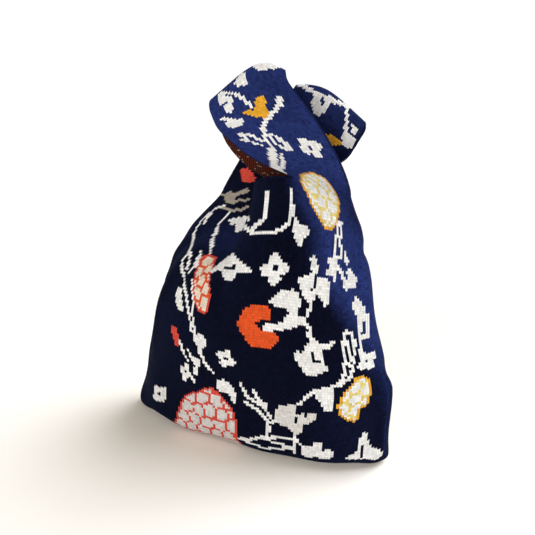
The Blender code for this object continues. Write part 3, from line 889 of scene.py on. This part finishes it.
def add_lining(cloth, ids, which):
    """Faces of the inner skin, two stitches wide and high, with every point of an open edge."""
    kept = np.zeros(ids.shape, dtype=bool)
    if which == BODY:
        kept[ROWS] = True
        for loop in LOOPS:
            for end in (0, 1):
                kept[ROWS, foot(loop, end, 1)[1:-1]] = False
    else:
        kept[:, [0, -1]] = True
    kept[::2, ::2] = True
    for r in range(0, ids.shape[0] - 1, 2):
        for c in range(0, ids.shape[1] - 1, 2):
            corners = [(r + up, c + on) for up, on in LINING_ROUND]
            ring = [(ids[corner], corner[::-1]) for corner in corners if kept[corner]]
            cloth.face(ring, GREY, INSIDE, flipped=which == LEFT_LOOP)


def close_edges(cloth, grids, outer, inner):
    """Rounds the cloth's raw edge from the outer skin over to the inner one."""
    # outer points, the ones between them or None, inner points, the way out, flipped, tone
    runs = []
    b, f, a, n = BAND_FACES, FRONT_NECK_FACES, ARMHOLE_FACES, BACK_NECK_FACES
    for start, faces in ((b, f), (2 * b + f, a), (3 * b + f + a, n), (4 * b + f + a + n, a)):
        cols = np.arange(FINE * start, FINE * (start + faces) + 1)
        rim = outer[BODY][ROWS]
        away = grids[BODY][ROWS, cols, :3] - grids[BODY][ROWS - 2, cols, :3]
        within = inner[BODY][ROWS, cols]
        runs.append((rim[2 * cols], rim[2 * cols[:-1] + 1], within, away, False, MOUTH_EDGE))
    for which in LOOPS:
        for c, beside in ((0, 1), (-1, -2)):
            away = grids[which][:, c, :3] - grids[which][:, beside, :3]
            flipped = (c == 0) != (which == RIGHT_LOOP)
            runs.append((outer[which][:, c], None, inner[which][:, c], away, flipped, STRAP_EDGE))
    ways_out = {}
    for outside, _, inside, away, _, _ in runs:
        for o, i, way in zip(outside, inside, unit(away)):
            ways_out.setdefault((o, i), []).append(way)
    bulge = {}
    for (o, i), ways in ways_out.items():
        middle = (np.array(cloth.points[o]) + np.array(cloth.points[i])) / 2
        bulge[o, i] = cloth.add((middle + unit(np.sum(ways, axis=0)) * EDGE_BULGE)[None, :])[0]
    for outside, between, inside, _, flipped, tone in runs:
        rims = (outside, [bulge[pair] for pair in zip(outside, inside)], inside)
        for k in range(len(outside) - 1):
            for side in (0, 1):
                (near, low), (far, high) = zip(rims[side:], EDGE_RISE[side:side + 2])
                ring = [(near[k], (k, low)), (near[k + 1], (k + 1, low)),
                        (far[k + 1], (k + 1, high)), (far[k], (k, high))]
                if side == 0 and between is not None:
                    ring.insert(1, (between[k], (k + 0.5, low)))
                cloth.face(ring, NAVY, EDGE, tone, flipped)


def build_cloth(grids):
    cloth = Cloth()
    outer = {}
    for which, grid in grids.items():
        upward = [ZIGZAG] * HALF_LOOP + [0.0] + [-ZIGZAG] * HALF_LOOP
        if which == BODY:
            upward = [0.0] + [ZIGZAG] * (ROWS - 1) + [0.0]
        outer[which] = zigzagged(half_columns(grid, which == BODY), upward)
    for which in LOOPS:
        for end, row in ((0, 0), (1, -1)):
            outer[BODY][ROWS][foot(which, end, 2)[1:-1]] = outer[which][row][1:-1]
    inner = {which: grid[:, :, :3] - unit(grid[:, :, 3:]) * WALL for which, grid in grids.items()}
    outer, inner = add_skin(cloth, outer, 2), add_skin(cloth, inner, 1)

    colours = stitch_colours()
    add_stitches(cloth, outer[BODY], (0, 1), np.arange(ROWS + 1), colours)
    for which in LOOPS:
        for end, start in enumerate(EDGE_COLUMNS[which]):
            half = outer[which][end * HALF_LOOP:][:HALF_LOOP + 1]
            courses = np.arange(ROWS, PANEL_ROWS + 1)[::-1 if end else 1]
            add_stitches(cloth, half, start, courses, colours, which == LEFT_LOOP)
    for which, ids in inner.items():
        add_lining(cloth, ids, which)
    close_edges(cloth, grids, outer, inner)
    return cloth


# materials
RELIEF_LEG, RELIEF_LAP = (0.7, 0.3), (0.4, 0.6)  # each a factor, and what is added to it
LEG_POWER, LAP_POWER = 2.4, 3.0
# the outer face's painted shade in its grooves, then its uneven fibres and patches, each a factor and what
# is added to it
OUTER_GROOVE_SHADE, OUTER_FIBRES, OUTER_PATCHES = (0.52, 0.54), (0.36, 0.82), (0.24, 0.88)
FIBRE_SCALE, PATCH_SCALE, EDGE_FIBRE_SCALE = 3.1, 0.11, 2.3
FIBRE_BUMP = 0.22
# painted shade in the grooves of the back of the cloth, a factor and what is added to it
INNER_GROOVE_SHADE = (0.55, 0.45)
RUST, DARK, PALE = (0.125, 0.024, 0.009, 1.0), (0.007, 0.005, 0.008, 1.0), (0.3, 0.24, 0.19, 1.0)
CHECKS = 2.0  # checks of rust and dark yarn to a stitch
FLECKS = 0.93  # the share of small cells that aren't flecked
EDGE_GROUND = (0.008, 0.012, 0.045, 1.0)
# the edge's share of its own yarn, and the painted shade between its loops, each a factor and what is added
# to it
EDGE_YARN, EDGE_LOOP_SHADE = (0.5, 0.1), (0.6, 0.4)


class Nodes:
    """Short ways to build a node tree."""

    def __init__(self, owner, shader="Principled BSDF"):
        owner.use_nodes = True
        self.tree = owner.node_tree
        self.shader = self.tree.nodes[shader]

    def put(self, node, values):
        """Links or sets a node's inputs, each given by its name or its place."""
        for key, value in values.items():
            if isinstance(value, bpy.types.NodeSocket):
                self.tree.links.new(value, node.inputs[key])
            else:
                node.inputs[key].default_value = value

    def new(self, kind, values, **settings):
        node = self.tree.nodes.new("ShaderNode" + kind)
        for key, value in settings.items():
            setattr(node, key, value)
        self.put(node, values)
        return node.outputs

    def math(self, operation, *values):
        return self.new("Math", dict(enumerate(values)), operation=operation)[0]

    def scaled(self, value, factor_and_sum):
        return self.math("MULTIPLY_ADD", value, *factor_and_sum)

    def mix(self, factor, first, second, blend="MIX"):
        return self.new("Mix", {0: factor, 6: first, 7: second}, data_type="RGBA", blend_type=blend)[2]

    def hump(self, value, power):
        """0 where the value is 0 or 1, and 1 halfway between."""
        away = self.math("ABSOLUTE", self.math("SUBTRACT", self.math("MULTIPLY", value, 2.0), 1.0))
        return self.math("SUBTRACT", 1.0, self.math("POWER", away, power))

    def fibres(self, uv, scale):
        values = {"Vector": uv, "Scale": scale, "Detail": 3.0, "Roughness": 0.65}
        return self.new("TexNoise", values, noise_dimensions="3D")["Fac"]

    def yarn(self):
        return self.new("VertexColor", {}, layer_name="yarn")["Color"]


def stitch_relief(nodes, uv):
    """Height of a stitch: two leaning legs with a groove between them and one between courses."""
    split = nodes.new("SeparateXYZ", {0: uv})
    wale, course = nodes.math("FRACT", split[0]), nodes.math("FRACT", split[1])
    from_middle = nodes.math("MULTIPLY", nodes.math("ABSOLUTE", nodes.math("SUBTRACT", wale, 0.5)), 2.0)
    leg, lap = nodes.hump(from_middle, LEG_POWER), nodes.hump(course, LAP_POWER)
    return nodes.math("MULTIPLY", nodes.scaled(leg, RELIEF_LEG), nodes.scaled(lap, RELIEF_LAP))


def outer_look(nodes, uv):
    """The outer face: each stitch in its own yarn, with painted shade in its grooves and a little uneven."""
    relief = stitch_relief(nodes, uv)
    fibres, patches = nodes.fibres(uv, FIBRE_SCALE), nodes.fibres(uv, PATCH_SCALE)
    shade = nodes.math("MULTIPLY", nodes.scaled(relief, OUTER_GROOVE_SHADE), nodes.scaled(fibres, OUTER_FIBRES))
    shade = nodes.math("MULTIPLY", shade, nodes.scaled(patches, OUTER_PATCHES))
    return nodes.yarn(), shade, nodes.scaled(fibres, (FIBRE_BUMP, relief))


def inner_look(nodes, uv):
    """The back of the cloth: rust yarn caught by dark and pale stitches like a bird's eye, with painted
    shade in its grooves.
    """
    relief = stitch_relief(nodes, uv)
    checks = nodes.new("TexChecker", {"Vector": uv, "Scale": CHECKS})["Fac"]
    finer = nodes.new("VectorMath", {0: uv, 1: (CHECKS, CHECKS, CHECKS)}, operation="MULTIPLY")[0]
    cell = nodes.new("VectorMath", {0: finer}, operation="FLOOR")[0]
    flecks = nodes.new("TexWhiteNoise", {"Vector": cell}, noise_dimensions="2D")["Value"]
    ground = nodes.mix(checks, RUST, DARK)
    ground = nodes.mix(nodes.math("GREATER_THAN", flecks, FLECKS), ground, PALE)
    return ground, nodes.scaled(relief, INNER_GROOVE_SHADE), relief


def edge_look(nodes, uv):
    """The linked edge: a tight row of loops with painted shade between them, bluer on the straps and browner
    along the mouth.
    """
    along_edge = nodes.new("SeparateXYZ", {0: uv})[0]
    loops = nodes.math("ABSOLUTE", nodes.math("SINE", nodes.math("MULTIPLY", along_edge, math.pi)))
    share = nodes.scaled(nodes.fibres(uv, EDGE_FIBRE_SCALE), EDGE_YARN)
    return nodes.mix(share, EDGE_GROUND, nodes.yarn()), nodes.scaled(loops, EDGE_LOOP_SHADE), loops


# Each slot's material: name, look, strength and distance of its bump, and the shader's own values
KNITS = {
    OUTSIDE: ("jacquard_knit", outer_look, (0.85, 0.0007),
              {"Roughness": 0.86, "Specular IOR Level": 0.02, "Sheen Weight": 0.04, "Sheen Roughness": 0.4,
               "Sheen Tint": (0.2, 0.36, 1.0, 1.0)}),
    INSIDE: ("birdseye_knit", inner_look, (0.8, 0.0006), {"Roughness": 0.92, "Specular IOR Level": 0.04}),
    EDGE: ("linked_edge", edge_look, (0.8, 0.0006), {"Roughness": 0.9, "Specular IOR Level": 0.02}),
}


def knit(name, look, bump, values):
    """A yarn material. look gives its colour, the painted shade and unevenness that darken it, and the
    height of its bump.
    """
    material = bpy.data.materials.new(name)
    nodes = Nodes(material)
    colour, shade, height = look(nodes, nodes.new("UVMap", {}, uv_map="stitches")[0])
    grey = nodes.new("CombineColor", {0: shade, 1: shade, 2: shade})[0]
    strength, distance = bump
    relief = nodes.new("Bump", {"Strength": strength, "Distance": distance, "Height": height})[0]
    shaded = nodes.mix(1.0, colour, grey, "MULTIPLY")
    nodes.put(nodes.shader, {"Base Color": shaded, "Normal": relief, **values})
    return material


# floor and light
FLOOR_COLOUR = (0.9, 0.89, 0.87, 1.0)
FLOOR_REACH = 3.0
FLOOR_LEVEL = -0.0005  # just under the bag
FLOOR_GLOW = 0.12  # what the camera sees of the floor beyond its own light
FLOOR_GLOW_COLOUR = (1.0, 0.86, 0.66, 1.0)
SKY = (0.24, 0.2, 0.15, 1.0)  # the world's light on the bag, a warm fill
BACKDROP = (1.0, 1.0, 1.0, 1.0)  # what the camera sees of the world
# Each lamp's kind, where it stands, what it faces, its strength and colour, and settings of its kind
LAMPS = {
    # a broad sun above and to the right, a little behind
    "key": ("SUN", (0.46, 0.38, 0.8), (0, 0, 0), 3.2, (0.95, 0.975, 1.0), {"angle": math.radians(46.0)}),
    # a low, broad light in front
    "fill": ("SUN", (-0.06, -0.98, 0.18), (0, 0, 0), 2.25, (1.0, 1.0, 1.0), {"angle": math.radians(50.0)}),
    # a soft box near the straps and the right side
    "side": ("AREA", (0.42, -0.22, 0.36), (0.05, 0.0, 0.2), 0.2, (0.9, 0.95, 1.0),
             {"shape": "DISK", "size": 0.26}),
}


def make_floor():
    mesh = bpy.data.meshes.new("floor")
    corners = [(x * FLOOR_REACH, y * FLOOR_REACH, 0.0) for x, y in ((-1, -1), (1, -1), (1, 1), (-1, 1))]
    mesh.from_pydata(corners, [], [(0, 1, 2, 3)])
    floor = bpy.data.objects.new("floor", mesh)
    floor.location.z = FLOOR_LEVEL
    bpy.context.scene.collection.objects.link(floor)
    material = bpy.data.materials.new("pale_floor")
    nodes = Nodes(material)
    seen = nodes.new("LightPath", {})["Is Camera Ray"]
    nodes.put(nodes.shader, {"Base Color": FLOOR_COLOUR, "Roughness": 0.9, "Specular IOR Level": 0.1,
                             "Emission Color": FLOOR_GLOW_COLOUR,
                             "Emission Strength": nodes.math("MULTIPLY", seen, FLOOR_GLOW)})
    mesh.materials.append(material)


def make_light():
    """The lamps, a warm world, and white behind the bag."""
    world = bpy.data.worlds.new("studio")
    bpy.context.scene.world = world
    nodes = Nodes(world, "Background")
    rays = nodes.new("LightPath", {})
    seen = nodes.math("MAXIMUM", rays["Is Camera Ray"], rays["Is Glossy Ray"])
    nodes.put(nodes.shader, {"Color": nodes.mix(seen, SKY, BACKDROP)})
    for name, (kind, stands, faced, strength, colour, settings) in LAMPS.items():
        data = bpy.data.lights.new(name, kind)
        for key, value in {"energy": strength, "color": colour, **settings}.items():
            setattr(data, key, value)
        aimed(name, data, stands, Vector(stands) - Vector(faced))


# the scene
def main():
    scene = bpy.context.scene
    scene.view_settings.view_transform = "Standard"
    make_camera()
    make_light()
    make_floor()
    paint_panel()
    grids = fine_grids()
    for which in LOOPS:
        grids[which] = even_rows(grids[which])
        swell_edge(grids[which], SWELLS[which])
    fold_body(grids[BODY])
    bag = bpy.data.objects.new("knitted_body", build_cloth(grids).mesh("knitted_body"))
    scene.collection.objects.link(bag)
    for slot in (OUTSIDE, INSIDE, EDGE):
        bag.data.materials.append(knit(*KNITS[slot]))
    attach(bag, "root")
    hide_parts("bag_body")


main()
